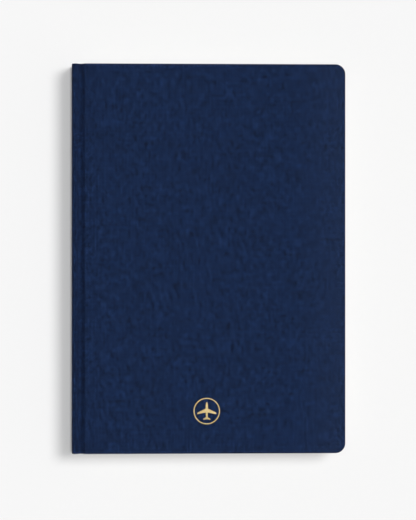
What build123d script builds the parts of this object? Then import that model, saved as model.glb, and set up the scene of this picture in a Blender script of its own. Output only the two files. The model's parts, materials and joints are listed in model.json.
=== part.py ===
from build123d import *
import os

# A case-bound pilot logbook, lying closed on its back cover. +X points from the spine to the
# fore edge, +Y to the head and +Z out of the front cover. The origin is on the surface that
# the book lies on, under the middle of the case. All lengths are in millimetres.

# The case
case_width = 151.0
case_height = 215.0
case_thickness = 17.0
corner_radius = 5.5
cloth = 0.4
board = 2.0
turn_in = 15.0
top_rounding = 0.6
inner_rounding = 0.3

# The spine panel and the groove beside it, measured in from the spine's outer face
spine_board_thickness = 1.6
spine_rounding = 1.6
spine_setback = 0.4
crest_from_spine = 2.1
crest_rounding = 0.3
groove_slope = 1.2
groove_rounding = 1.6
hinge_gap = 0.06
cover_from_spine = 7.0

# The endpapers and the leaves
endpaper = 0.2
endpaper_inset = 3.0
endpaper_fold = 0.14
leaf_gap = 0.1
leaf = 0.1
page_width = 145.0
page_height = 210.0
page_corner = 4.0
section_count = 12
fold_from_spine = 3.4
fold_rounding = 0.3
leaves_from_spine = 6.6

# What holds the sections together at their folds
glue = 0.4
mull = 0.2
mull_flap_width = 22.6
lining = 0.2
lining_setback = 1.0
band_radius = 0.9
band_tape = 12.0
thread = 0.3
thread_depth = 0.5
station_count = 6
station_spacing = 34.0

# The foil emblem near the tail: a small aeroplane in a ring
emblem_from_spine = 74.3
emblem_from_tail = 23.5
emblem_radius = 7.3
emblem_ring = 0.45
foil_recess = 0.1
foil = 0.05
fuselage_radius = 0.65
fuselage_half_length = 4.9

# Places across and along the book
spine_face = -case_width / 2
fore_edge = case_width / 2
half_height = case_height / 2
spine_half = half_height - spine_setback
half_page = page_height / 2
mull_half = half_height - turn_in
cover_start = spine_face + cover_from_spine
pastedown_start = cover_start + cloth
mull_flap_end = pastedown_start + mull_flap_width
page_fold = spine_face + fold_from_spine
page_edge = page_fold + page_width
leaves_start = spine_face + leaves_from_spine
mull_face = page_fold - glue - mull
lining_face = mull_face - lining

# Heights, from the front cover's outside down to the sewn block, and the block's other side
board_top = case_thickness - cloth
board_bottom = board_top - board
turn_in_bottom = board_bottom - cloth
cover_bottom = turn_in_bottom - endpaper
flyleaf_top = cover_bottom - leaf_gap
flyleaf_bottom = flyleaf_top - endpaper
block_top = flyleaf_bottom - leaf_gap
block_bottom = case_thickness - block_top
block_thickness = block_top - block_bottom
section_thickness = block_thickness / section_count
section_middle = block_top - section_thickness / 2
leaves_bottom = section_middle + leaf_gap / 2
first_leaf_bottom = block_top - leaf
middle_plane = Plane.XY.offset(case_thickness / 2)

# The middle of the cloth's thickness, from the spine over the crest and down into the groove.
# The hinge line lies on the slope between the crest and the groove, half-way through the
# cover's thickness, so that the opened cover lies level with the closed one.
skin_x = spine_face + cloth / 2
crest_x = spine_face + crest_from_spine
crest_height = case_thickness - cloth / 2
hinge_height = (case_thickness + cover_bottom) / 2
hinge_x = crest_x + (crest_height - hinge_height) / groove_slope
groove_height = board_bottom
groove_x = crest_x + (crest_height - groove_height) / groove_slope


def save(piece, name):
    """Label a finished piece and write it as its own STEP file."""
    piece.part.label = name
    export_step(piece.part, f"parts/{name}.step")


def save_back_twin(front_piece, name):
    """Save the back cover's piece: the front one mirrored through the book's middle plane."""
    with BuildPart() as twin:
        mirror(front_piece.part, about=middle_plane)
    save(twin, name)


def sheet_outline(height, left, right, half_length, corner):
    """Outline of a board or leaf: square at the spine, with round corners at the fore edge."""
    with BuildSketch(Plane.XY.offset(height)) as outline:
        with Locations(((left + right) / 2, 0)):
            Rectangle(right - left, 2 * half_length)
        fillet(outline.vertices().group_by(Axis.X)[-1], radius=corner)
    return outline.sketch


def strip_outline(height, left, right, half_length):
    """Outline of a plain rectangle that runs from tail to head."""
    with BuildSketch(Plane.XY.offset(height)) as outline:
        with Locations(((left + right) / 2, 0)):
            Rectangle(right - left, 2 * half_length)
    return outline.sketch


def spine_strip(left, thickness, half_length):
    """Strip on the back of the sewn block, as tall as the block is thick."""
    extrude(strip_outline(block_bottom, left, left + thickness, half_length),
            amount=block_thickness)


def bent_sheet(points, radii, thickness, half_length):
    """Sheet that follows a bent line across the book and runs from tail to head."""
    with BuildSketch(Plane.XZ) as profile:
        with BuildLine():
            FilletPolyline(*points, radius=radii)
        trace(line_width=thickness)
    extrude(profile.sketch, amount=half_length, both=True)


os.makedirs("parts", exist_ok=True)

# --- The covers ------------------------------------------------------------------------------

emblem_place = Plane((spine_face + emblem_from_spine, emblem_from_tail - half_height,
                      case_thickness - foil_recess))

with BuildSketch(emblem_place) as emblem_outline:
    Circle(emblem_radius)
    Circle(emblem_radius - emblem_ring, mode=Mode.SUBTRACT)
    Ellipse(fuselage_radius, fuselage_half_length)
    # One half of the wing and of the tailplane, then their mirror images
    Polygon((0, 1.5), (5.0, -0.9), (5.0, -1.9), (0, -0.4), align=None)
    Polygon((0, -3.1), (1.9, -4.2), (1.9, -4.9), (0, -4.3), align=None)
    mirror(about=Plane.YZ)

with BuildPart() as cover_emblem:
    add(emblem_outline.sketch)
    extrude(amount=foil)
save(cover_emblem, "cover_emblem")

with BuildPart() as front_board:
    board_outline = sheet_outline(board_bottom, pastedown_start, fore_edge - cloth,
                                  half_height - cloth, corner_radius - cloth)
    extrude(board_outline, amount=board)
save(front_board, "front_board")
save_back_twin(front_board, "back_board")

with BuildPart() as plain_cover_cloth:
    outside = sheet_outline(turn_in_bottom, cover_start, fore_edge, half_height,
                            corner_radius)
    extrude(outside, amount=case_thickness - turn_in_bottom)
    fillet(plain_cover_cloth.edges().group_by(Axis.Z)[-1], radius=top_rounding)
    fillet(plain_cover_cloth.edges().group_by(Axis.Z)[0], radius=inner_rounding)
    add(front_board.part, mode=Mode.SUBTRACT)
    # The bare middle of the inside, between the turned-in edges
    bare_middle = strip_outline(turn_in_bottom, pastedown_start, fore_edge - turn_in,
                                mull_half)
    extrude(bare_middle, amount=cloth, mode=Mode.SUBTRACT)
save_back_twin(plain_cover_cloth, "back_cover_cloth")

with BuildPart() as front_cover_cloth:
    add(plain_cover_cloth.part)
    # The foil is pressed into the front's cloth
    extrude(emblem_outline.sketch, amount=foil_recess, mode=Mode.SUBTRACT)
save(front_cover_cloth, "front_cover_cloth")

with BuildPart() as front_mull_flap:
    extrude(strip_outline(board_bottom - mull, pastedown_start, mull_flap_end, mull_half),
            amount=mull)
save(front_mull_flap, "front_mull_flap")
save_back_twin(front_mull_flap, "back_mull_flap")

with BuildPart() as front_pastedown:
    # Round its edges the sheet lies on the turned-in cloth
    sheet = sheet_outline(cover_bottom, pastedown_start, fore_edge - endpaper_inset,
                          half_height - endpaper_inset, corner_radius - endpaper_inset)
    extrude(sheet, amount=endpaper)
    # Its middle steps down on to the board, and on the way over the mull's flap
    pressed = strip_outline(cover_bottom, pastedown_start, fore_edge - turn_in, mull_half)
    extrude(pressed, amount=board_bottom - cover_bottom)
    over_flap = strip_outline(cover_bottom, pastedown_start, mull_flap_end + endpaper,
                              mull_half - endpaper)
    extrude(over_flap, amount=board_bottom - mull - endpaper - cover_bottom,
            mode=Mode.SUBTRACT)
    over_board = strip_outline(cover_bottom, mull_flap_end + endpaper,
                               fore_edge - turn_in - endpaper, mull_half - endpaper)
    extrude(over_board, amount=board_bottom - endpaper - cover_bottom, mode=Mode.SUBTRACT)
    add(front_mull_flap.part, mode=Mode.SUBTRACT)
save(front_pastedown, "front_pastedown")
save_back_twin(front_pastedown, "back_pastedown")

# --- The spine panel, and what flexes between it and the covers --------------------------------

with BuildPart() as spine_board:
    with BuildSketch(Plane.XZ) as board_end:
        with Locations((spine_face + cloth + spine_board_thickness / 2, case_thickness / 2)):
            Rectangle(spine_board_thickness, case_thickness - 3 * cloth)
        fillet(board_end.vertices().group_by(Axis.X)[0], radius=spine_rounding - cloth / 2)
    extrude(amount=spine_half - cloth, both=True)
save(spine_board, "spine_board")

with BuildPart() as spine_cloth:
    # The skin, round the panel from the back cover's hinge line to the front cover's
    bent_sheet(
        [
            (hinge_x, case_thickness - hinge_height),
            (crest_x, case_thickness - crest_height),
            (skin_x, case_thickness - crest_height),
            (skin_x, crest_height),
            (crest_x, crest_height),
            (hinge_x, hinge_height),
        ],
        [crest_rounding, spine_rounding, spine_rounding, crest_rounding],
        cloth,
        spine_half,
    )
    # Turned over the panel at head and tail, and down its inside
    with BuildSketch(Plane.XZ) as turned_end:
        with Locations((spine_face + cloth, case_thickness / 2)):
            Rectangle(spine_board_thickness + cloth, case_thickness - 3 * cloth,
                      align=(Align.MIN, Align.CENTER))
        fillet(turned_end.vertices().group_by(Axis.X)[0], radius=spine_rounding - cloth / 2)
    extrude(amount=spine_half, both=True)
    add(spine_board.part, mode=Mode.SUBTRACT)
    with BuildSketch(Plane.XZ):
        with Locations((spine_face + cloth + spine_board_thickness, case_thickness / 2)):
            Rectangle(cloth, case_thickness - 4 * cloth, align=(Align.MIN, Align.CENTER))
    extrude(amount=spine_half - turn_in, both=True, mode=Mode.SUBTRACT)
save(spine_cloth, "spine_cloth")

with BuildPart() as front_joint_cloth:
    bent_sheet(
        [
            (hinge_x + hinge_gap, hinge_height - hinge_gap * groove_slope),
            (groove_x, groove_height),
            (cover_start, groove_height),
        ],
        [groove_rounding],
        cloth,
        spine_half,
    )
save(front_joint_cloth, "front_joint_cloth")
save_back_twin(front_joint_cloth, "back_joint_cloth")

with BuildPart() as front_endpaper_joint:
    # The endpaper's fold: the flyleaf's root, and the strip from it up to the pastedown
    bent_sheet(
        [
            (leaves_start - leaf_gap, flyleaf_top - endpaper / 2),
            (page_fold + endpaper / 2, flyleaf_top - endpaper / 2),
            (page_fold + endpaper / 2, cover_bottom + endpaper / 2),
            (pastedown_start, cover_bottom + endpaper / 2),
        ],
        [endpaper_fold, endpaper_fold],
        endpaper,
        half_page,
    )
save(front_endpaper_joint, "front_endpaper_joint")
save_back_twin(front_endpaper_joint, "back_endpaper_joint")

with BuildPart() as front_flyleaf:
    extrude(sheet_outline(flyleaf_bottom, leaves_start, page_edge, half_page, page_corner),
            amount=endpaper)
save(front_flyleaf, "front_flyleaf")
save_back_twin(front_flyleaf, "back_flyleaf")

# --- The sewn block --------------------------------------------------------------------------

link_x = page_fold - glue / 2
run_x = page_fold + thread_depth

with BuildPart() as sewing_thread:
    # Links across the folds on the block's back, at each sewing station
    with BuildSketch(Plane.XY.offset(block_bottom + section_thickness / 2)):
        with Locations((link_x, 0)):
            with GridLocations(0, station_spacing, 1, station_count):
                Rectangle(thread, thread)
    extrude(amount=section_middle + thread / 2 - block_bottom - section_thickness / 2)
    # In through the first section's fold, and along inside it from station to station
    with BuildSketch(Plane.XY.offset(section_middle - thread / 2)):
        with Locations(((link_x + run_x) / 2, 0)):
            with GridLocations(0, station_spacing, 1, station_count):
                Rectangle(run_x - link_x + thread, thread)
        with Locations((run_x, 0)):
            with GridLocations(0, 2 * station_spacing, 1, station_count // 2):
                Rectangle(thread, station_spacing + thread)
    extrude(amount=thread)
save(sewing_thread, "sewing_thread")

for number in range(1, section_count + 1):
    with BuildPart() as section:
        extrude(sheet_outline(block_top - number * section_thickness, page_fold, page_edge,
                              half_page, page_corner),
                amount=section_thickness)
        fillet(section.edges().filter_by(Axis.Y).group_by(Axis.X)[0], radius=fold_rounding)
        if number == 1:
            # Its front four leaves turn, so only their root is part of this piece
            turning = strip_outline(section_middle, leaves_start - leaf_gap, page_edge,
                                    half_page)
            extrude(turning, amount=section_thickness / 2, mode=Mode.SUBTRACT)
            add(sewing_thread.part, mode=Mode.SUBTRACT)
    save(section, f"section_{number:02d}")

with BuildPart() as section_01_leaf_1:
    extrude(sheet_outline(first_leaf_bottom, leaves_start, page_edge, half_page, page_corner),
            amount=leaf)
save(section_01_leaf_1, "section_01_leaf_1")

with BuildPart() as section_01_leaves_2_to_4:
    extrude(sheet_outline(leaves_bottom, leaves_start, page_edge, half_page, page_corner),
            amount=first_leaf_bottom - leaf_gap / 2 - leaves_bottom)
save(section_01_leaves_2_to_4, "section_01_leaves_2_to_4")

with BuildPart() as spine_glue:
    spine_strip(page_fold - glue, glue, half_page - lining_setback)
    add(sewing_thread.part, mode=Mode.SUBTRACT)
save(spine_glue, "spine_glue")

with BuildPart() as spine_mull:
    spine_strip(mull_face, mull, mull_half)
save(spine_mull, "spine_mull")

with BuildPart() as spine_lining:
    spine_strip(lining_face, lining, half_page - lining_setback)
save(spine_lining, "spine_lining")

band_x = mull_face + mull + band_radius
band_y = half_page + band_radius
with BuildPart() as headband:
    with BuildSketch(Plane.XY.offset(block_bottom)):
        with Locations((band_x, band_y)):
            Circle(band_radius)
        # The web behind the bead, and its tape on the back of the block
        with Locations((mull_face, half_page)):
            Rectangle(band_x - mull_face, 2 * band_radius, align=(Align.MIN, Align.MIN))
        with Locations((mull_face, half_page - band_tape)):
            Rectangle(mull, band_tape, align=(Align.MIN, Align.MIN))
    extrude(amount=block_thickness)
save(headband, "headband")

with BuildPart() as tailband:
    mirror(headband.part, about=Plane.XZ)
save(tailband, "tailband")
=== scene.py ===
import json
import math
import random

import bpy
import numpy as np
from mathutils import Matrix, Vector


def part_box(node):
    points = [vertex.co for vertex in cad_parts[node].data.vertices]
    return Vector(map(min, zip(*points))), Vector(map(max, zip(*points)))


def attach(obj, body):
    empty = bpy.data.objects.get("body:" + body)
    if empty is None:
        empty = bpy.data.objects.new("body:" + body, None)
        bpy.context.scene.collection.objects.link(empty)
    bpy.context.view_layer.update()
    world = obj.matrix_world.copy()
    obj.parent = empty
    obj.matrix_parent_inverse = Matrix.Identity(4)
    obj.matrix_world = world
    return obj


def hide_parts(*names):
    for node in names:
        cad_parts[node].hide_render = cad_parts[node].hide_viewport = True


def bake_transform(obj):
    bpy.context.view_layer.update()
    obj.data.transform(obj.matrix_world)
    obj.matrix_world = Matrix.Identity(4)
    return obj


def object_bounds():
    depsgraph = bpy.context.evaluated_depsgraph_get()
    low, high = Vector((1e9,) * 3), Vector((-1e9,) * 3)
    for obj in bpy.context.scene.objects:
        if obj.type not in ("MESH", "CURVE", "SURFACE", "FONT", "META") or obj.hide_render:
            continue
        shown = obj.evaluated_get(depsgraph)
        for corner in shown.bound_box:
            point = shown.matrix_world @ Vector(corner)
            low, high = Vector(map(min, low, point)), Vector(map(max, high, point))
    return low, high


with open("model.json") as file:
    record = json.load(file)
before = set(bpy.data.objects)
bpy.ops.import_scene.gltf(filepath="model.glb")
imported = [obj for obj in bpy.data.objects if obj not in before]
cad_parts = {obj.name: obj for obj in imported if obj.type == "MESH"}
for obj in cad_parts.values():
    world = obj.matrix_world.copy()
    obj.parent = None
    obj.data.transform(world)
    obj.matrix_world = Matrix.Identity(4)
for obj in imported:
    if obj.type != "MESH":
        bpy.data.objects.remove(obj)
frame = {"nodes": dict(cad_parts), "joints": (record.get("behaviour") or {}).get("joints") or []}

# A case-bound pilot logbook, lying closed on its back cover. Lengths are in metres.
# "From the spine" is a distance along +X from the spine's outer face.

MM = 0.001
cad_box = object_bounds()
scene = bpy.context.scene

# --- Places, from the frame ---------------------------------------------------------------------

SPINE = cad_box[0].x
CASE_TOP = cad_box[1].z
MIDDLE = CASE_TOP / 2
FORE_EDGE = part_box("front_cover_cloth")[1].x
COVER_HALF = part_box("front_cover_cloth")[1].y
COVER_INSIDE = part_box("front_cover_cloth")[0].z
BOARD_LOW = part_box("front_board")[0]
SPINE_BOARD_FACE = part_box("spine_board")[1].x
FLAP_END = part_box("front_mull_flap")[1].x
FLAP_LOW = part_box("front_mull_flap")[0].z
FLAP_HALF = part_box("front_mull_flap")[1].y
PASTE_LOW, PASTE_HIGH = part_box("front_pastedown")
FLYLEAF_LOW, FLYLEAF_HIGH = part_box("front_flyleaf")
BLOCK_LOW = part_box("section_12")[0]
BLOCK_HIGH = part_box("section_02")[1]
BLOCK_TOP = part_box("section_01_leaf_1")[1].z
BAND_LOW, BAND_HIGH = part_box("headband")
EMBLEM_LOW, EMBLEM_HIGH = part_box("cover_emblem")
HINGE = Vector(next(j["pos_m"] for j in frame["joints"] if j["name"] == "front_cover_hinge"))

# --- Sizes that only the looks need -------------------------------------------------------------

CLOTH = 0.3 * MM
CORNER = 5.5 * MM
RIM = 0.6 * MM
INNER_RIM = 0.3 * MM
TURN_IN = 15.0 * MM
GROOVE_SLOPE = 1.2
GROOVE_BOTTOM = 4.7 * MM
GROOVE_END = 7.7 * MM
GROOVE_DEPTH = 2.2 * MM
FOLDED_CLOTH = 0.62 * MM
JOINT_SETBACK = 0.05 * MM
SETBACK_START = 5.6 * MM
SETBACK_RUN = 1.8 * MM
JOINT_END = 8.4 * MM
RUBBED_REACH = 1.2 * MM
RUBBED_SHARE = 0.5
# Painted light: over this reach from the fore edge the cloth is painted lighter, on the side the
# light comes from
PAINTED_LIGHT_REACH = 34.0 * MM
PAINTED_LIGHT_SHARE = 0.55
TRIM_UNEVENNESS = 0.05
ENDPAPER = 0.2 * MM
LEAF = 0.085 * MM
LEAF_COUNT = 96
LEAVES_PER_SECTION = 8
LEAF_PITCH = (BLOCK_TOP - BLOCK_LOW.z) / LEAF_COUNT
PAGE_CORNER = 4.0 * MM
FOLD = 0.1 * MM
PAGE_BEND = 5.5 * MM
WEAVE_X = 0.79 * MM
WEAVE_Y = 0.72 * MM
WEFT_COLOUR = (0.0014, 0.0068, 0.0275, 1)
WARP_COLOUR = (0.0114, 0.0278, 0.0860, 1)
# Pale colour of rubbed cloth, also used for the painted light by the fore edge
RUBBED_AND_PAINTED_LIGHT_COLOUR = (0.034, 0.052, 0.105, 1)


def smooth_step(t):
    """0 before 0, 1 after 1, and a smooth rise between."""
    t = np.clip(t, 0.0, 1.0)
    return t * t * (3 - 2 * t)


# --- Node helper --------------------------------------------------------------------------------

class Nodes:
    """A new material's nodes. Values may be numbers, colours or the sockets of other nodes."""

    def __init__(self, name):
        self.material = bpy.data.materials.new(name)
        self.material.use_nodes = True
        self.tree = self.material.node_tree
        self.shader = self.tree.nodes["Principled BSDF"]

    def put(self, socket, value):
        if isinstance(value, bpy.types.NodeSocket):
            self.tree.links.new(value, socket)
        else:
            socket.default_value = value

    def add(self, kind, inputs, output=0, **settings):
        node = self.tree.nodes.new(kind)
        for setting, value in settings.items():
            setattr(node, setting, value)
        for socket, value in inputs.items():
            self.put(node.inputs[socket], value)
        return node.outputs[output]

    def math(self, operation, a, b=0.0, c=0.0):
        return self.add("ShaderNodeMath", {0: a, 1: b, 2: c}, operation=operation)

    def place(self):
        """Where a point of a new piece is at rest, or on the flat cloth it is cut from."""
        return self.add("ShaderNodeAttribute", {}, output="Vector", attribute_name="place")

    def object_place(self):
        """Where a point of a CAD piece is."""
        return self.add("ShaderNodeTexCoord", {}, output="Object")

    def scaled(self, vector, scale):
        return self.add("ShaderNodeMapping", {"Vector": vector, "Scale": scale})

    def split(self, vector):
        node = self.tree.nodes.new("ShaderNodeSeparateXYZ")
        self.put(node.inputs[0], vector)
        return node.outputs

    def noise(self, vector, scale, detail=2.0):
        return self.add("ShaderNodeTexNoise", {"Vector": vector, "Scale": scale, "Detail": detail},
                        output="Fac")

    def between(self, value, low, high):
        """A 0 to 1 value, stretched to run from low to high."""
        return self.add("ShaderNodeMapRange", {"Value": value, "To Min": low, "To Max": high})

    def contrast(self, value, start, end, low=0.0, high=1.0):
        return self.add("ShaderNodeMapRange", {"Value": value, "From Min": start, "From Max": end,
                                               "To Min": low, "To Max": high})

    def mix(self, factor, a, b, blend="MIX"):
        """Colours a and b, mixed."""
        node = self.tree.nodes.new("ShaderNodeMix")
        node.data_type = "RGBA"
        node.blend_type = blend
        self.put(node.inputs["Factor"], factor)
        self.put(node.inputs[6], a)
        self.put(node.inputs[7], b)
        return node.outputs[2]

    def mix_value(self, factor, a, b):
        """Numbers a and b, mixed."""
        return self.add("ShaderNodeMix", {0: factor, 2: a, 3: b})

    def shaded(self, colour, tone):
        """The colour, multiplied by a tone."""
        grey = self.add("ShaderNodeCombineXYZ", {0: tone, 1: tone, 2: tone})
        return self.mix(1.0, colour, grey, blend="MULTIPLY")

    def bump(self, height, distance, strength):
        normal = self.add("ShaderNodeBump", {"Height": height, "Distance": distance,
                                             "Strength": strength})
        self.put(self.shader.inputs["Normal"], normal)

    def finish(self, colour, roughness, **uniform):
        self.put(self.shader.inputs["Base Color"], colour)
        self.put(self.shader.inputs["Roughness"], roughness)
        for socket, value in uniform.items():
            self.shader.inputs[socket.replace("_", " ")].default_value = value
        return self.material


# --- Materials ----------------------------------------------------------------------------------

def book_cloth():
    """Navy plain-weave book cloth: threads over and under, uneven tone, pale rubbed edges, painted
    shade in the weave's hollows, and a painted lighter strip by the fore edge.
    """
    n = Nodes("book_cloth")
    place = n.place()
    x, y, _ = n.split(place)
    wander = n.noise(n.scaled(place, (1.0, 1.0, 0.0)), 420.0, 3.0)
    across = n.math("MULTIPLY_ADD", wander, 0.24, n.math("DIVIDE", x, WEAVE_X))
    along = n.math("MULTIPLY_ADD", wander, -0.20, n.math("DIVIDE", y, WEAVE_Y))
    warp = n.math("SINE", n.math("MULTIPLY", across, math.pi))
    weft = n.math("SINE", n.math("MULTIPLY", along, math.pi))
    crossing = n.math("MULTIPLY", warp, weft)
    warp_height = n.math("ADD", n.math("ABSOLUTE", warp), crossing)
    weft_height = n.math("SUBTRACT", n.math("ABSOLUTE", weft), crossing)
    height = n.math("MULTIPLY", n.math("MAXIMUM", warp_height, weft_height), 0.5)
    warp_up = n.math("GREATER_THAN", warp_height, weft_height)
    # Each thread has its own tone, which changes along it, and so has each crossing
    warp_tone = n.contrast(n.noise(n.scaled(place, (1.0 / WEAVE_X, 170.0, 0.0)), 1.0, 1.0),
                           0.28, 0.72, 0.50, 1.50)
    weft_tone = n.contrast(n.noise(n.scaled(place, (50.0, 1.0 / WEAVE_Y, 0.0)), 1.0, 1.0),
                           0.28, 0.72, 0.10, 1.90)
    thread_tone = n.mix_value(warp_up, weft_tone, warp_tone)
    float_place = n.add("ShaderNodeCombineXYZ",
                        {0: n.math("FLOOR", across), 1: n.math("FLOOR", along)})
    floats = n.add("ShaderNodeTexWhiteNoise", {"Vector": float_place}, output="Value",
                   noise_dimensions="2D")
    float_tone = n.between(floats, 0.55, 1.45)
    # Fine strands run along each thread
    warp_strands = n.noise(n.scaled(place, (9000.0, 1300.0, 0.0)), 1.0, 1.0)
    weft_strands = n.noise(n.scaled(place, (1300.0, 9000.0, 0.0)), 1.0, 1.0)
    strands = n.contrast(n.mix_value(warp_up, weft_strands, warp_strands), 0.3, 0.7, 0.80, 1.20)
    slubs = n.contrast(n.noise(n.scaled(place, (0.7, 1.0, 0.0)), 700.0, 2.0),
                       0.32, 0.68, 0.90, 1.10)
    # Painted shade: the weave's low places between the threads are darkened in the colour
    painted_hollow_shade = n.between(height, 0.40, 1.34)
    tone = n.math("MULTIPLY", n.math("MULTIPLY", thread_tone, painted_hollow_shade),
                  n.math("MULTIPLY", float_tone, n.math("MULTIPLY", slubs, strands)))
    dyed = n.mix(warp_up, WEFT_COLOUR, WARP_COLOUR)
    # The edge attribute holds real rubbing at the rims and painted light, a lighter strip by the
    # fore edge; both mix in the pale colour
    edge = n.add("ShaderNodeAttribute", {}, output="Fac", attribute_name="edge")
    rub_and_light_mottle = n.contrast(n.noise(place, 900.0, 3.0), 0.40, 0.75, 0.05, 0.5)
    rubbed = n.math("MULTIPLY", edge, rub_and_light_mottle)
    colour = n.mix(rubbed, n.shaded(dyed, tone), RUBBED_AND_PAINTED_LIGHT_COLOUR)
    fuzz = n.noise(place, 5200.0, 2.0)
    n.bump(n.math("MULTIPLY_ADD", fuzz, 0.25, height), 0.00011, 0.55)
    return n.finish(colour, n.between(fuzz, 0.74, 0.90), Specular_IOR_Level=0.10,
                    Sheen_Weight=0.02, Sheen_Roughness=0.5)


def paper(name, colour, fibre=2600.0):
    """Nodes and colour of uncoated paper: faint mottling, and fibres that lift its surface."""
    n = Nodes(name)
    place = n.place()
    mottle = n.noise(place, 160.0, 3.0)
    fibres = n.noise(n.scaled(place, (1.0, 0.4, 1.0)), fibre, 4.0)
    # The cut edges of the sheets show as fine lines at uneven heights
    layers = n.noise(n.scaled(place, (6.0, 6.0, 9000.0)), 1.0, 2.0)
    tone = n.math("MULTIPLY", n.between(mottle, 0.95, 1.04), n.between(fibres, 0.96, 1.03))
    tone = n.math("MULTIPLY", tone, n.contrast(layers, 0.25, 0.75, 0.93, 1.04))
    n.bump(fibres, 0.00003, 0.6)
    return n, place, n.shaded(colour, tone), n.between(mottle, 0.82, 0.93)


def endpaper_material():
    """Heavy off-white endpaper."""
    n, _, colour, roughness = paper("endpaper", (0.73, 0.70, 0.62, 1), fibre=1900.0)
    return n.finish(colour, roughness, Specular_IOR_Level=0.25)


def page_material():
    """Writing paper, ruled for a log with plain rows and columns."""
    n, place, colour, roughness = paper("page_paper", (0.80, 0.76, 0.66, 1))
    x, y, _ = n.split(place)
    row_pitch, column_pitch, line = 7.0 * MM, 12.5 * MM, 0.22 * MM
    left, right, half = BLOCK_LOW.x + 12.0 * MM, BLOCK_HIGH.x - 8.0 * MM, 94.5 * MM

    def lines(value, start, pitch):
        step = n.math("FRACT", n.math("DIVIDE", n.math("SUBTRACT", value, start), pitch))
        return n.math("LESS_THAN", step, line / pitch)

    inside = n.math("MULTIPLY", n.math("GREATER_THAN", x, left), n.math("LESS_THAN", x, right))
    inside = n.math("MULTIPLY", inside, n.math("LESS_THAN", n.math("ABSOLUTE", y), half))
    rows = n.math("MULTIPLY", lines(y, -half, row_pitch), inside)
    columns = n.math("MULTIPLY", lines(x, left, column_pitch), inside)
    ink = n.math("MULTIPLY", n.math("MAXIMUM", rows, columns), 0.55)
    ruled = n.mix(ink, colour, (0.16, 0.24, 0.36, 1))
    return n.finish(ruled, roughness, Specular_IOR_Level=0.25)


def band_material():
    """Head band: navy and white silk wound round a core, in slanting wraps."""
    n = Nodes("band_silk")
    place = n.place()
    x, _, z = n.split(place)
    wraps = n.math("DIVIDE", n.math("MULTIPLY_ADD", x, 0.5, z), 1.7 * MM)
    navy = n.math("GREATER_THAN", n.math("FRACT", wraps), 0.5)
    strands = n.noise(n.scaled(place, (0.2, 0.2, 1.0)), 9000.0, 2.0)
    colour = n.mix(navy, (0.72, 0.71, 0.68, 1), (0.016, 0.030, 0.085, 1))
    n.bump(strands, 0.00005, 0.7)
    return n.finish(n.shaded(colour, n.between(strands, 0.78, 1.15)), n.between(strands, 0.35, 0.6),
                    Sheen_Weight=0.2)


def foil_material():
    """Gold foil pressed on to the weave: bright on the threads, thinner between them."""
    n = Nodes("gold_foil")
    place = n.place()
    x, y, _ = n.split(place)
    warp = n.math("SINE", n.math("MULTIPLY", x, math.pi / WEAVE_X))
    weft = n.math("SINE", n.math("MULTIPLY", y, math.pi / WEAVE_Y))
    weave = n.math("ABSOLUTE", n.math("MULTIPLY", warp, weft))
    grain = n.noise(place, 2300.0, 3.0)
    worn = n.contrast(grain, 0.30, 0.62)
    colour = n.mix(worn, (0.24, 0.18, 0.08, 1), (0.68, 0.54, 0.27, 1))
    n.bump(n.math("MULTIPLY_ADD", grain, 0.5, weave), 0.00004, 0.35)
    return n.finish(n.shaded(colour, n.between(weave, 0.80, 1.05)), n.between(grain, 0.50, 0.70),
                    Metallic=0.9)


def greyboard_material():
    """Pressed grey board with pale and dark specks."""
    n = Nodes("greyboard")
    place = n.object_place()
    specks = n.noise(place, 1400.0, 5.0)
    layers = n.noise(n.scaled(place, (20.0, 20.0, 2600.0)), 1.0, 2.0)
    tone = n.math("MULTIPLY", n.contrast(specks, 0.35, 0.65, 0.84, 1.12),
                  n.between(layers, 0.9, 1.1))
    n.bump(specks, 0.00006, 0.7)
    return n.finish(n.shaded((0.30, 0.28, 0.25, 1), tone), n.between(specks, 0.85, 0.97))


def gauze_material():
    """Mull: an open weave of pale threads."""
    n = Nodes("mull_gauze")
    place = n.object_place()
    x, y, z = n.split(place)
    pitch = 1.1 * MM
    across = n.math("SINE", n.math("MULTIPLY", n.math("ADD", x, z), 2 * math.pi / pitch))
    along = n.math("SINE", n.math("MULTIPLY", y, 2 * math.pi / pitch))
    threads = n.math("MAXIMUM", across, along)
    colour = n.mix(n.contrast(threads, 0.0, 0.8), (0.42, 0.37, 0.28, 1), (0.74, 0.70, 0.60, 1))
    n.bump(threads, 0.0001, 0.8)
    return n.finish(n.shaded(colour, n.between(n.noise(place, 900.0), 0.9, 1.08)),
                    n.between(threads, 0.95, 0.8))


def kraft_material():
    """Brown kraft paper with long fibres."""
    n = Nodes("kraft_lining")
    place = n.object_place()
    fibres = n.noise(n.scaled(place, (1.0, 0.15, 1.0)), 2400.0, 4.0)
    n.bump(fibres, 0.00004, 0.7)
    return n.finish(n.shaded((0.42, 0.29, 0.17, 1), n.contrast(fibres, 0.3, 0.7, 0.82, 1.14)),
                    n.between(fibres, 0.75, 0.92))


def glue_material():
    """Dried adhesive, brushed on: yellowish, uneven and slightly glossy."""
    n = Nodes("binding_glue")
    place = n.object_place()
    brushed = n.noise(n.scaled(place, (1.0, 0.25, 1.0)), 700.0, 3.0)
    n.bump(brushed, 0.00015, 0.8)
    return n.finish(n.shaded((0.75, 0.70, 0.56, 1), n.between(brushed, 0.85, 1.08)),
                    n.between(brushed, 0.25, 0.5))


def thread_material():
    """Linen sewing thread with a visible twist."""
    n = Nodes("sewing_thread")
    place = n.object_place()
    x, y, z = n.split(place)
    twist = n.math("SINE", n.math("MULTIPLY", n.math("ADD", n.math("ADD", x, y), z), 9000.0))
    n.bump(twist, 0.00005, 0.8)
    return n.finish(n.shaded((0.80, 0.76, 0.68, 1), n.contrast(twist, -1.0, 1.0, 0.8, 1.05)),
                    n.contrast(twist, -1.0, 1.0, 0.85, 0.7))


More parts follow.
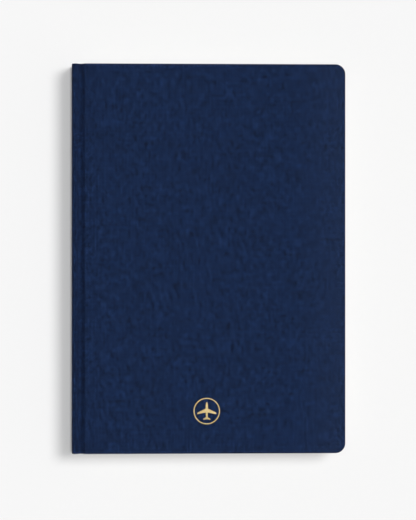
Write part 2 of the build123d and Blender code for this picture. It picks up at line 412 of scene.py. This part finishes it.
def floor_material():
    """Plain pale studio floor."""
    n = Nodes("studio_floor")
    grain = n.noise(n.object_place(), 300.0, 2.0)
    return n.finish(n.shaded((0.86, 0.86, 0.86, 1), n.between(grain, 0.995, 1.005)),
                    n.between(grain, 0.85, 0.9), Specular_IOR_Level=0.1)


CLOTH_MATERIAL = book_cloth()
ENDPAPER_MATERIAL = endpaper_material()
PAGE_MATERIAL = page_material()
BAND_MATERIAL = band_material()
FOIL_MATERIAL = foil_material()


# --- Mesh helpers -------------------------------------------------------------------------------

def new_piece(name, points, faces, material, places=None, edge=None, sharp=40.0):
    """A mesh object with smooth faces, and with where each point is at rest kept for its weave."""
    mesh = bpy.data.meshes.new(name)
    mesh.from_pydata([tuple(p) for p in points], [], faces)
    mesh.validate()
    mesh.update()
    piece = bpy.data.objects.new(name, mesh)
    scene.collection.objects.link(piece)
    mesh.materials.append(material)
    kept = mesh.attributes.new("place", "FLOAT_VECTOR", "POINT")
    kept.data.foreach_set("vector", np.asarray(points if places is None else places,
                                               np.float32).ravel())
    if edge is not None:
        kept = mesh.attributes.new("edge", "FLOAT", "POINT")
        kept.data.foreach_set("value", np.asarray(edge, np.float32))
    mesh.polygons.foreach_set("use_smooth", [True] * len(mesh.polygons))
    mesh.set_sharp_from_angle(angle=math.radians(sharp))
    return piece


def apply_modifiers(piece):
    """Replace the piece's mesh with what its modifiers make of it."""
    graph = bpy.context.evaluated_depsgraph_get()
    made = bpy.data.meshes.new_from_object(piece.evaluated_get(graph), depsgraph=graph,
                                           preserve_all_data_layers=True)
    piece.modifiers.clear()
    piece.data = made


def mirror_back(points):
    """The back cover's points: the front one's, mirrored through the book's middle plane."""
    mirrored = np.array(points, float)
    mirrored[:, 2] = CASE_TOP - mirrored[:, 2]
    return mirrored


def turned(faces):
    """Faces that look the other way."""
    return [tuple(reversed(f)) for f in faces]


def page_grid(columns, half, corner, corner_steps, row_count):
    """Grid of (x, y) points, square at the spine and with round corners at the fore edge.

    columns are the x values up to where the corners begin. half gives half the height at each x.
    Returns points[column][row] and, for each, the outward direction that its rim takes.
    """
    shares = np.linspace(0, 1, corner_steps + 1)
    xs = list(columns) + [columns[-1] + corner * s for s in shares[1:]]
    shares_x = [0.0] * len(columns) + list(shares[1:])
    middle = np.linspace(-1, 1, row_count + 1)
    grid, outward = [], []
    for x, a in zip(xs, shares_x):
        limit = half(min(x, columns[-1]))
        flat = limit - corner
        rows, ways = [], []
        for b in -shares[:0:-1]:
            rows.append(corner_point(columns[-1], x, a, b, flat, corner))
            ways.append(corner_way(a, b))
        for t in middle:
            rows.append((x, flat * t))
            ways.append((1.0 if a == 1.0 else 0.0, 0.0))
        for b in shares[1:]:
            rows.append(corner_point(columns[-1], x, a, b, flat, corner))
            ways.append(corner_way(a, b))
        grid.append(rows)
        outward.append(ways)
    return np.array(grid), np.array(outward)


def corner_point(start, x, a, b, flat, corner):
    """A point of the square corner block, drawn in to the round one."""
    if a == 0.0:
        return x, math.copysign(flat, b) + corner * b
    round_x = a * math.sqrt(1 - b * b / 2)
    round_y = b * math.sqrt(1 - a * a / 2)
    return start + corner * round_x, math.copysign(flat, b) + corner * round_y


def corner_way(a, b):
    """The direction out of the sheet at a point of the corner block."""
    way = Vector((a * math.sqrt(1 - b * b / 2), b * math.sqrt(1 - a * a / 2)))
    return tuple(way.normalized())


def grid_faces(column_count, row_count, first=0):
    """Quads of a grid whose points are numbered row by row within each column."""
    quads = []
    for i in range(column_count - 1):
        for j in range(row_count - 1):
            corner = first + i * row_count + j
            quads.append((corner, corner + row_count, corner + row_count + 1, corner + 1))
    return quads


def rim_path(column_count, row_count):
    """Numbers of the grid's points from the spine along the tail, fore edge and head."""
    tail = [i * row_count for i in range(column_count)]
    fore = [(column_count - 1) * row_count + j for j in range(1, row_count)]
    head = [i * row_count + row_count - 1 for i in range(column_count - 2, -1, -1)]
    return tail + fore + head


def sheet_piece(name, grid, low, high, material, back=False):
    """A closed sheet on a grid; low and high give its two faces' heights at each (x, y)."""
    column_count, row_count = grid.shape[:2]
    flat = grid.reshape(-1, 2)
    top = [(x, y, high(x, y)) for x, y in flat]
    bottom = [(x, y, low(x, y)) for x, y in flat]
    faces = grid_faces(column_count, row_count)
    faces += turned(grid_faces(column_count, row_count, len(flat)))
    path = rim_path(column_count, row_count)
    path += [j for j in range(row_count - 2, 0, -1)]
    for a, b in zip(path, path[1:] + path[:1]):
        faces.append((a, a + len(flat), b + len(flat), b))
    points = np.array(top + bottom)
    if back:
        points, faces = mirror_back(points), turned(faces)
    return new_piece(name, points, faces, material)


# --- Covers -------------------------------------------------------------------------------------

# The cloth's outer face passes 0.2 mm outside the hinge line, square to the groove's slope
SLOPE_NORMAL = (0.768, 0.640)
HINGE_EDGE_OFFSET = (0.154 * MM, 0.128 * MM)
HINGE_EDGE = HINGE.x + HINGE_EDGE_OFFSET[0]
HINGE_EDGE_HEIGHT = HINGE.z + HINGE_EDGE_OFFSET[1]


def cover_height(x):
    """Height of the front cover's outside, from the hinge line through the groove to the board."""
    groove = SPINE + GROOVE_BOTTOM
    if x >= groove:
        rise = smooth_step((x - groove) / (GROOVE_END - GROOVE_BOTTOM))
        return CASE_TOP - GROOVE_DEPTH * (1 - float(rise))
    run = groove - HINGE_EDGE
    t = (x - HINGE_EDGE) / run
    from_hinge = 2 * t ** 3 - 3 * t ** 2 + 1
    from_slope = t ** 3 - 2 * t ** 2 + t
    return (from_hinge * HINGE_EDGE_HEIGHT - from_slope * run * GROOVE_SLOPE
            + (1 - from_hinge) * (CASE_TOP - GROOVE_DEPTH))


def cover_underside(x):
    """Height of the turned-in cloth's inside face."""
    if x >= SPINE + GROOVE_BOTTOM:
        return COVER_INSIDE
    return max(COVER_INSIDE, cover_height(x) - FOLDED_CLOTH)


def cover_half(x):
    """Half the cover's height: a little less beside the spine than on the board."""
    share = smooth_step((x - SPINE - SETBACK_START) / SETBACK_RUN)
    return COVER_HALF - JOINT_SETBACK * (1 - float(share))


def cover_rim(x):
    """Radius of the edge between the outside and the rim."""
    return min(RIM, (cover_height(x) - cover_underside(x)) / 2)


def rim_profile(x, outside, inside):
    """(outward, height) steps from the outside face, round the rim, to the turned-in face."""
    rim = cover_rim(x)
    inner = min(INNER_RIM, rim)
    steps = []
    for k in range(1, 7):
        turn = k / 6 * math.pi / 2
        steps.append((rim * math.sin(turn), outside - rim * (1 - math.cos(turn))))
    steps.append((rim, (outside - rim + inside + inner) / 2))
    for k in range(0, 5):
        turn = k / 4 * math.pi / 2
        steps.append((rim - inner * (1 - math.cos(turn)), inside + inner * (1 - math.sin(turn))))
    return steps


def cover_skin(name, back=False):
    """One sheet of cloth over a board: down into the groove, round three edges and turned in."""
    joint = np.linspace(HINGE_EDGE, SPINE + JOINT_END, 30)
    board = np.linspace(SPINE + JOINT_END, FORE_EDGE - CORNER, 56)[1:]
    grid, outward = page_grid(list(joint) + list(board), lambda x: cover_half(x) - cover_rim(x),
                              CORNER - RIM, 7, 72)
    column_count, row_count = grid.shape[:2]
    flat, ways = grid.reshape(-1, 2), outward.reshape(-1, 2)
    points = [(x, y, cover_height(x)) for x, y in flat]
    # The flat cloth's own x follows the surface down and up the groove
    centres = grid[:, row_count // 2, 0]
    heights = [cover_height(x) for x in centres]
    along = np.concatenate([[0], np.cumsum(np.hypot(np.diff(centres), np.diff(heights)))])
    stretch = np.interp(flat[:, 0], centres, along) + HINGE_EDGE
    places = [(u, y, 0.0) for u, (_, y) in zip(stretch, flat)]
    # Rubbed wear at the rims, and painted light in a lighter strip by the fore edge
    edge = [wear_and_painted_light_share(x, y) for x, y in flat]
    faces = grid_faces(column_count, row_count)

    path = rim_path(column_count, row_count)
    previous = path
    turn_share = (FORE_EDGE - TURN_IN - HINGE_EDGE) / (FORE_EDGE - HINGE_EDGE)
    turn_half = (COVER_HALF - TURN_IN) / COVER_HALF
    profiles = []
    for p in path:
        x = flat[p][0]
        way = ways[p] if np.any(ways[p]) else np.array((0.0, math.copysign(1.0, flat[p][1])))
        at_edge = abs(flat[p][1]) >= cover_half(x) - cover_rim(x) - 1e-9
        if at_edge and x < FORE_EDGE - CORNER + 1e-9:
            way = np.array((0.0, math.copysign(1.0, flat[p][1])))
        profiles.append((x, way, rim_profile(x, cover_height(x), cover_underside(x))))
    ring_count = len(profiles[0][2])
    run = [0.0] * len(path)
    last = [(0.0, cover_height(flat[p][0])) for p in path]
    for k in range(ring_count + 3):
        current = []
        for m, p in enumerate(path):
            x, way, steps = profiles[m]
            if k < ring_count:
                out, height = steps[k]
                place_x, place_y = flat[p][0] + way[0] * out, flat[p][1] + way[1] * out
                run[m] += math.hypot(out - last[m][0], height - last[m][1])
                last[m] = (out, height)
                worn = 0.5
            else:
                # The turned-in flap, inside the board
                share = (k - ring_count + 1) / 3
                edge_x = flat[p][0] + way[0] * steps[-1][0]
                edge_y = flat[p][1] + way[1] * steps[-1][0]
                end_x = HINGE_EDGE + (edge_x - HINGE_EDGE) * turn_share
                end_y = edge_y * turn_half
                place_x = edge_x + (end_x - edge_x) * share
                place_y = edge_y + (end_y - edge_y) * share
                height = steps[-1][1]
                run[m] += math.hypot(end_x - edge_x, end_y - edge_y) / 3
                worn = 0.0
            current.append(len(points))
            points.append((place_x, place_y, height))
            places.append((places[p][0] + way[0] * run[m], places[p][1] + way[1] * run[m], 0.0))
            edge.append(worn)
        for m in range(len(path) - 1):
            faces.append((previous[m], current[m], current[m + 1], previous[m + 1]))
        previous = current

    points = np.array(points)
    if back:
        points, faces = mirror_back(points), turned(faces)
    piece = new_piece(name, points, faces, CLOTH_MATERIAL, places, edge, sharp=50.0)
    thicken = piece.modifiers.new("thickness", "SOLIDIFY")
    thicken.thickness = CLOTH
    thicken.offset = -1.0
    apply_modifiers(piece)
    return piece


def wear_and_painted_light_share(x, y):
    """How far the cloth is rubbed along its edges, and how much painted light lightens it in a wide
    strip by the fore edge, on the side the light comes from.
    """
    from_edge = min(cover_half(x) - abs(y), FORE_EDGE - x)
    rubbed = float(1 - smooth_step((from_edge - RIM) / RUBBED_REACH))
    # Painted light: the cloth grows lighter towards the fore edge, where the light falls from the
    # right
    painted_light = float(1 - smooth_step((FORE_EDGE - x) / PAINTED_LIGHT_REACH))
    return max(RUBBED_SHARE * rubbed, PAINTED_LIGHT_SHARE * painted_light)


def paste_height(x, y, over_board, over_flap, over_cloth):
    """Height of the pastedown, which steps over the turned-in cloth and the mull's flap."""
    step, clear = 1.0 * MM, 0.15 * MM
    from_fore, from_end = FORE_EDGE - TURN_IN - x, FLAP_HALF - abs(y)
    inside = min(x - BOARD_LOW.x, from_fore, from_end)
    if max(from_fore, from_end) < CORNER:
        inside = CORNER - math.hypot(CORNER - from_fore, CORNER - from_end)
    on_board = float(smooth_step((inside - clear) / step))
    on_flap = on_board * float(smooth_step((FLAP_END - x + clear) / step + 1.0))
    height = over_cloth + (over_board - over_cloth) * on_board
    return height + (over_flap - over_board) * on_flap


def pastedown(name, back=False):
    """Endpaper on the inside of a cover, and its strip over the joint to the fold."""
    fold = BLOCK_LOW.x + FOLD
    turn = FORE_EDGE - TURN_IN
    corner = 2.5 * MM
    # Columns are close together where the sheet steps up or down, and wide apart elsewhere
    near, before, beyond = 0.8 * MM, 1.2 * MM, 2.0 * MM
    joint = np.linspace(fold, BOARD_LOW.x + near, 22)
    flap = np.linspace(BOARD_LOW.x + beyond, FLAP_END - before, 10)
    flap_edge = np.linspace(FLAP_END - near, FLAP_END + near, 6)
    board = np.linspace(FLAP_END + beyond, turn - before, 22)
    turn_edge = np.linspace(turn - near, turn + near, 6)
    outer = np.linspace(turn + beyond, PASTE_HIGH.x - corner, 5)
    columns = np.concatenate([joint, flap, flap_edge, board, turn_edge, outer])
    grid, _ = page_grid(list(columns), lambda x: PASTE_HIGH.y, corner, 5, 120)
    # More rows where the sheet steps over the turned-in cloth
    grid[..., 1] = np.where(np.abs(grid[..., 1]) < PASTE_HIGH.y - corner,
                            denser_rows(grid[..., 1], FLAP_HALF), grid[..., 1])
    cloth_face, board_face, flap_face = PASTE_LOW.z, BOARD_LOW.z - ENDPAPER, FLAP_LOW - ENDPAPER

    def low(x, y):
        return paste_height(x, y, board_face, flap_face, cloth_face)

    return sheet_piece(name, grid, low, lambda x, y: low(x, y) + ENDPAPER, ENDPAPER_MATERIAL,
                       back)


def denser_rows(y, place):
    """Draw rows that are spread evenly towards the two lines at plus and minus place."""
    reach, closest = 12.0 * MM, 0.25
    off = np.abs(y) - place
    share = np.clip(np.abs(off) / reach, 0, 1)
    return np.sign(y) * (place + off * (closest + (1 - closest) * share))


def covers():
    """Both covers' cloth and pastedowns, bent between the spine and the boards."""
    for side, back, rests in (("front", False, "front_board"), ("back", True, "back_board")):
        skin = cover_skin(f"{side}_cover_skin", back)
        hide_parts(f"{side}_cover_cloth", f"{side}_joint_cloth")
        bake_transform(skin)
        # Round edges, and measuring along the cloth's middle, save about a millimetre of cloth
        paste = pastedown(f"{side}_pastedown_sheet", back)
        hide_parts(f"{side}_pastedown", f"{side}_endpaper_joint")
        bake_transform(paste)


# --- Spine --------------------------------------------------------------------------------------

def spine_outline():
    """(x, z) points of the spine panel's outside, from the back hinge line to the front one."""
    round_x, round_z = 2.15 * MM, 2.0 * MM
    crest_rounding = 0.5 * MM
    crest_x = SPINE + round_x + 0.02 * MM
    upper = []
    for k in range(0, 9):
        turn = k / 8 * math.pi / 2
        upper.append((SPINE + round_x * (1 - math.cos(turn)),
                      CASE_TOP - round_z * (1 - math.sin(turn))))
    fall = math.atan(GROOVE_SLOPE)
    for k in range(1, 6):
        turn = k / 5 * fall
        upper.append((crest_x + crest_rounding * math.sin(turn),
                      CASE_TOP - crest_rounding * (1 - math.cos(turn))))
    last_x, last_z = upper[-1]
    for share in (0.33, 0.66, 1.0):
        upper.append((last_x + (HINGE_EDGE - last_x) * share,
                      last_z + (HINGE_EDGE_HEIGHT - last_z) * share))
    sides = [(SPINE, MIDDLE + (MIDDLE - round_z) * t) for t in np.linspace(-0.8, 0.8, 9)]
    lower = [(x, CASE_TOP - z) for x, z in reversed(upper)]
    return lower + sides + upper


def spine_piece():
    """The covering cloth round the spine panel, turned over the panel at head and tail."""
    outer = np.array(spine_outline())
    inside = SPINE_BOARD_FACE + CLOTH
    reach = CLOTH * 1.02
    root_x = HINGE_EDGE - reach * SLOPE_NORMAL[0]
    root_z = HINGE_EDGE_HEIGHT - reach * SLOPE_NORMAL[1]
    bend_height = 1.35 * MM
    arc = np.concatenate([[0], np.cumsum(np.hypot(*np.diff(outer, axis=0).T))])
    # Each outside point has an inside one, across the panel's thickness
    straight = MIDDLE - bend_height
    bends_arc = [arc[0], arc[-1] / 2 - straight, arc[-1] / 2 + straight, arc[-1]]
    bends_x = [root_x, inside, inside, root_x]
    bends_z = [CASE_TOP - root_z, bend_height, CASE_TOP - bend_height, root_z]
    inner = np.column_stack([np.interp(arc, bends_arc, bends_x),
                             np.interp(arc, bends_arc, bends_z)])
    outline = np.vstack([outer, inner])
    half, rounding = COVER_HALF - JOINT_SETBACK, 0.7 * MM
    # (y, how far the outside is drawn in) at each station from the tail to the head
    tail = [(-half + rounding * (1 - math.cos(turn)), rounding * (1 - math.sin(turn)))
            for turn in np.linspace(0, math.pi / 2, 6)]
    middle = [(y, 0.0) for y in np.linspace(-half + 4 * MM, half - 4 * MM, 40)]
    head = [(-y, drawn) for y, drawn in reversed(tail)]
    stations = tail + middle + head
    points, places, edge, faces = [], [], [], []
    half_count = len(outer)
    count = 2 * half_count
    for y, drawn in stations:
        for k, (x, z) in enumerate(outline):
            depth = x - SPINE
            if k < half_count:
                # Only the panel's round edge is drawn in, not the slopes down to the hinge lines
                share = 1 - float(smooth_step((depth - 1.2 * MM) / (1.6 * MM)))
                upright = float(smooth_step((abs(z - MIDDLE) - 5.0 * MM) / (3.0 * MM)))
                drawn_z = math.copysign(drawn * upright * share, z - MIDDLE)
                points.append((x + drawn * share * (1 - upright), y, z - drawn_z))
                places.append((arc[k], math.copysign(abs(y) + drawn, y), 0.0))
                edge.append(0.3 if drawn > 0 else 0.0)
            else:
                points.append((x, y, z))
                across = float(np.hypot(*(outer[k - half_count] - (x, z))))
                over = 2 * half + rounding + across - abs(y)
                places.append((arc[k - half_count], math.copysign(over, y), 0.0))
                edge.append(0.0)
    around = list(range(half_count)) + list(range(count - 1, half_count - 1, -1))
    for s in range(len(stations) - 1):
        for a, b in zip(around, around[1:] + around[:1]):
            a, b = s * count + a, s * count + b
            faces.append((a, b, b + count, a + count))
    last = (len(stations) - 1) * count
    for k in range(half_count - 1):
        faces.append((k + half_count, k + half_count + 1, k + 1, k))
        faces.append((last + k, last + k + 1, last + k + 1 + half_count, last + k + half_count))
    piece = new_piece("spine_skin", points, turned(faces), CLOTH_MATERIAL, places,
                      edge, sharp=50.0)
    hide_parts("spine_cloth")
    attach(piece, "text_block")


# --- Endpapers and leaves -----------------------------------------------------------------------

def gutter_columns(start):
    """x values of a leaf's columns: close together where it may bend, then wide apart."""
    bend = np.linspace(start, start + PAGE_BEND + 1.0 * MM, 26)
    rest = np.linspace(bend[-1] + 6.0 * MM, BLOCK_HIGH.x - PAGE_CORNER, 16)
    return list(bend) + list(rest)


def turning_leaf(name, bottoms, thickness, node, material):
    """Leaves that turn about the front hinge line, each lying on the one below it."""
    start = BLOCK_LOW.x + FOLD
    grid, _ = page_grid(gutter_columns(start), lambda x: BLOCK_HIGH.y, PAGE_CORNER, 6, 24)
    sheets = [sheet_piece(name if k == 0 else f"{name}_{k}", grid, lambda x, y, b=b: b,
                          lambda x, y, b=b: b + thickness, material)
              for k, b in enumerate(bottoms)]
    piece = join(sheets)
    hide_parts(node)
    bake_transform(piece)


def join(objects):
    """Join objects into the first one."""
    if len(objects) > 1:
        with bpy.context.temp_override(active_object=objects[0],
                                       selected_editable_objects=objects):
            bpy.ops.object.join()
    return objects[0]


def leaf_outline(left, right, half):
    """Outline of one leaf, square at the fold and round at the fore edge."""
    outline = [(left, -half)]
    for side, turns in ((-1, np.linspace(-math.pi / 2, 0, 8)),
                        (1, np.linspace(0, math.pi / 2, 8))):
        for turn in turns:
            outline.append((right - PAGE_CORNER + PAGE_CORNER * math.cos(turn),
                            side * (half - PAGE_CORNER) + PAGE_CORNER * math.sin(turn)))
    outline.append((left, half))
    return outline


def section_piece(number, leaves, draw):
    """A sewn section: its leaves, cut flush but for a hair, each drawn flat and set back at the
    spine as the folded sheets nest.
    """
    points, faces = [], []
    for leaf in leaves:
        middle = BLOCK_TOP - (leaf + 0.5) * LEAF_PITCH
        from_middle = abs(leaf % LEAVES_PER_SECTION - (LEAVES_PER_SECTION - 1) / 2)
        nested = from_middle / LEAVES_PER_SECTION
        left = BLOCK_LOW.x + (0.55 - nested) * 0.5 * MM
        right = BLOCK_HIGH.x - draw.uniform(0.0, TRIM_UNEVENNESS) * MM
        half = BLOCK_HIGH.y - draw.uniform(0.0, TRIM_UNEVENNESS) * MM
        outline = leaf_outline(left, right, half)
        first, count = len(points), len(outline)
        points += [(x, y, middle - LEAF / 2) for x, y in outline]
        points += [(x, y, middle + LEAF / 2) for x, y in outline]
        faces.append(tuple(first + count - 1 - k for k in range(count)))
        faces.append(tuple(first + count + k for k in range(count)))
        for k in range(count):
            a, b = first + k, first + (k + 1) % count
            faces.append((a, b, b + count, a + count))
    piece = new_piece(f"log_section_{number:02d}", points, faces, PAGE_MATERIAL,
                      sharp=30.0)
    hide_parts(f"section_{number:02d}")
    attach(piece, "text_block")


def leaves_and_endpapers():
    """The flyleaves, the leaves that turn, and the sections behind them."""
    def bottom(leaf):
        return BLOCK_TOP - (leaf + 0.5) * LEAF_PITCH - LEAF / 2

    turning_leaf("front_flyleaf_sheet", [FLYLEAF_LOW.z], ENDPAPER,
                 "front_flyleaf", ENDPAPER_MATERIAL)
    turning_leaf("log_leaf_1", [bottom(0)], LEAF, "section_01_leaf_1",
                 PAGE_MATERIAL)
    turning_leaf("log_leaves_2_to_4", [bottom(k) for k in (1, 2, 3)], LEAF,
                 "section_01_leaves_2_to_4", PAGE_MATERIAL)
    draw = random.Random(4)
    section_piece(1, range(4, LEAVES_PER_SECTION), draw)
    for number in range(2, LEAF_COUNT // LEAVES_PER_SECTION + 1):
        first = (number - 1) * LEAVES_PER_SECTION
        section_piece(number, range(first, first + LEAVES_PER_SECTION), draw)

    grid, _ = page_grid(gutter_columns(BLOCK_LOW.x + FOLD), lambda x: BLOCK_HIGH.y, PAGE_CORNER,
                        6, 24)
    back = sheet_piece("back_flyleaf_sheet", grid, lambda x, y: FLYLEAF_LOW.z,
                       lambda x, y: FLYLEAF_HIGH.z, ENDPAPER_MATERIAL, back=True)
    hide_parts("back_flyleaf")
    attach(back, "text_block")


# --- Bands and emblem ---------------------------------------------------------------------------

def band_piece(name, node, side):
    """A head band's bead, wound with silk, and the web behind it."""
    bead = (BAND_HIGH.y - BLOCK_HIGH.y) / 2
    centre_x, centre_y = BAND_LOW.x + 1.1 * MM, BLOCK_HIGH.y + bead
    around, wraps, per_wrap = 20, 24, 6
    points, faces = [], []
    ring_count = wraps * per_wrap + 1
    for r in range(ring_count):
        z = BAND_LOW.z + (BAND_HIGH.z - BAND_LOW.z) * r / (ring_count - 1)
        swell = bead * (0.93 + 0.07 * abs(math.sin(math.pi * r / per_wrap)))
        for k in range(around):
            turn = 2 * math.pi * k / around
            slant = 0.12 * MM * math.cos(turn)
            lean = slant if 0 < r < ring_count - 1 else 0.0
            points.append((centre_x + swell * math.cos(turn),
                           side * (centre_y + swell * math.sin(turn)), z + lean))
    for r in range(ring_count - 1):
        for k in range(around):
            a, b = r * around + k, r * around + (k + 1) % around
            faces.append((a, b, b + around, a + around))
    faces.append(tuple(range(around - 1, -1, -1)))
    faces.append(tuple((ring_count - 1) * around + k for k in range(around)))
    # The web lies on the back of the block
    first = len(points)
    web_x = (BAND_LOW.x, BAND_LOW.x + 0.2 * MM)
    web_y = (side * abs(BAND_LOW.y), side * (centre_y + bead * 0.5))
    for x in web_x:
        for y in web_y:
            for z in (BAND_LOW.z, BAND_HIGH.z):
                points.append((x, y, z))
    for quad in ((0, 1, 3, 2), (4, 6, 7, 5), (0, 4, 5, 1),
                 (2, 3, 7, 6), (0, 2, 6, 4), (1, 5, 7, 3)):
        faces.append(tuple(first + k for k in quad))
    piece = new_piece(name, points, faces if side > 0 else turned(faces), BAND_MATERIAL,
                      sharp=60.0)
    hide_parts(node)
    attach(piece, "text_block")


def plate(outline, low, high, edge):
    """Points and faces of a thin plate on an outline, its top edge drawn in a little."""
    centre = np.mean(outline, axis=0)
    count, drawn_in = len(outline), 0.015
    points = [(x, y, low) for x, y in outline]
    points += [(x, y, high - edge) for x, y in outline]
    points += [(x + (centre[0] - x) * drawn_in, y + (centre[1] - y) * drawn_in, high)
               for x, y in outline]
    faces = [tuple(range(count - 1, -1, -1)), tuple(2 * count + k for k in range(count))]
    for layer in (0, count):
        for k in range(count):
            a, b = layer + k, layer + (k + 1) % count
            faces.append((a, b, b + count, a + count))
    return points, faces


def aeroplane_outline():
    """A plain aeroplane from above, nose up, as distances from the emblem's centre."""
    half = [(0.0, 4.9), (0.28, 4.7), (0.5, 4.2), (0.62, 3.4), (0.65, 1.35), (5.0, -0.75),
            (5.22, -1.1), (5.2, -1.75), (0.62, -0.75), (0.42, -3.35), (1.85, -4.2), (1.95, -4.45),
            (1.9, -4.85), (0.24, -4.45), (0.0, -4.9)]
    mirrored = [(-x, y) for x, y in reversed(half[1:-1])]
    return [(x * MM, y * MM) for x, y in half + mirrored]


def emblem():
    """Gold foil on the front cover: a generic aeroplane in a thin ring."""
    centre = (EMBLEM_LOW + EMBLEM_HIGH) / 2
    radius = (EMBLEM_HIGH.x - EMBLEM_LOW.x) / 2
    low, high, edge = EMBLEM_LOW.z, CASE_TOP + 0.03 * MM, 0.02 * MM
    outline = [(centre.x + x, centre.y + y) for x, y in reversed(aeroplane_outline())]
    points, faces = plate(outline, low, high, edge)
    width, around = 0.55 * MM, 96
    profile = [(0, low), (0, high - edge), (edge, high), (width - edge, high),
               (width, high - edge), (width, low)]
    first = len(points)
    for k in range(around):
        turn = 2 * math.pi * k / around
        for inset, z in profile:
            points.append((centre.x + (radius - inset) * math.cos(turn),
                           centre.y + (radius - inset) * math.sin(turn), z))
    size = len(profile)
    for k in range(around):
        for m in range(size):
            a, b = first + k * size + m, first + k * size + (m + 1) % size
            beyond = first + (k + 1) % around * size
            c, d = beyond + m, beyond + (m + 1) % size
            faces.append((a, c, d, b))
    piece = new_piece("foil_emblem", points, faces, FOIL_MATERIAL, sharp=30.0)
    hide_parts("cover_emblem")
    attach(piece, "front_cover")


# --- Pieces that stay as the CAD made them ------------------------------------------------------

def repaint(material, *nodes):
    """Give CAD pieces a better material."""
    for node in nodes:
        piece = frame["nodes"][node]
        piece.data.materials.clear()
        piece.data.materials.append(material)


def inner_pieces():
    """Boards, linings, glue, mull and thread, which the covers and leaves hide."""
    repaint(greyboard_material(), "front_board", "back_board", "spine_board")
    repaint(gauze_material(), "front_mull_flap", "back_mull_flap", "spine_mull")
    repaint(kraft_material(), "spine_lining")
    repaint(glue_material(), "spine_glue")
    repaint(thread_material(), "sewing_thread")


# --- Studio -------------------------------------------------------------------------------------

def floor():
    """A pale floor, 0.2 mm below the book, that runs on past what the camera sees."""
    reach, height = 12.0, -0.2 * MM
    mesh = bpy.data.meshes.new("studio_floor")
    mesh.from_pydata([(-reach, -reach, height), (reach, -reach, height), (reach, reach, height),
                      (-reach, reach, height)], [], [(0, 1, 2, 3)])
    piece = bpy.data.objects.new("studio_floor", mesh)
    scene.collection.objects.link(piece)
    mesh.materials.append(floor_material())


def sun(name, towards, strength, angle):
    """A soft light from far away, in the direction given."""
    light = bpy.data.lights.new(name, "SUN")
    light.energy = strength
    light.angle = math.radians(angle)
    lamp = bpy.data.objects.new(name, light)
    lamp.rotation_mode = "QUATERNION"
    lamp.rotation_quaternion = Vector(towards).to_track_quat("Z", "Y")
    scene.collection.objects.link(lamp)


def lights():
    """A broad light from the right and the head, a small one from above, and a pale surround."""
    sun("key_light", (0.55, 0.27, 1.0), 1.65, 25.0)
    sun("top_light", (0.05, 0.03, 1.0), 1.53, 8.0)
    world = bpy.data.worlds.new("surround")
    world.use_nodes = True
    scene.world = world
    tree = world.node_tree
    background = tree.nodes["Background"]
    background.inputs["Color"].default_value = (1.0, 1.0, 1.0, 1)
    background.inputs["Strength"].default_value = 0.15
    seen = tree.nodes.new("ShaderNodeBackground")
    seen.inputs["Color"].default_value = (0.93, 0.93, 0.93, 1)
    choose = tree.nodes.new("ShaderNodeMixShader")
    path = tree.nodes.new("ShaderNodeLightPath")
    tree.links.new(path.outputs["Is Camera Ray"], choose.inputs[0])
    tree.links.new(background.outputs[0], choose.inputs[1])
    tree.links.new(seen.outputs[0], choose.inputs[2])
    tree.links.new(choose.outputs[0], tree.nodes["World Output"].inputs["Surface"])
    scene.view_settings.view_transform = "Standard"


def camera():
    """Looks down on the front cover, from a little to the spine's side."""
    frame_height = 286.7 * MM
    lens, sensor, tilt = 150.0, 36.0, math.radians(2.4)
    distance = frame_height / 2 / (sensor / 2 / lens)
    target = Vector((-0.52 * MM, -0.70 * MM, CASE_TOP))
    data = bpy.data.cameras.new("camera")
    data.lens = lens
    data.sensor_width = sensor
    data.clip_start, data.clip_end = 0.05, 50.0
    viewer = bpy.data.objects.new("camera", data)
    back = Vector((-math.sin(tilt), 0.0, math.cos(tilt)))
    up = Vector((0.0, 1.0, 0.0))
    side = up.cross(back)
    turn = Matrix((side, up, back)).transposed()
    viewer.matrix_world = Matrix.Translation(target + back * distance) @ turn.to_4x4()
    scene.collection.objects.link(viewer)
    scene.camera = viewer


covers()
spine_piece()
leaves_and_endpapers()
band_piece("headband_silk", "headband", 1)
band_piece("tailband_silk", "tailband", -1)
emblem()
inner_pieces()
floor()
lights()
camera()
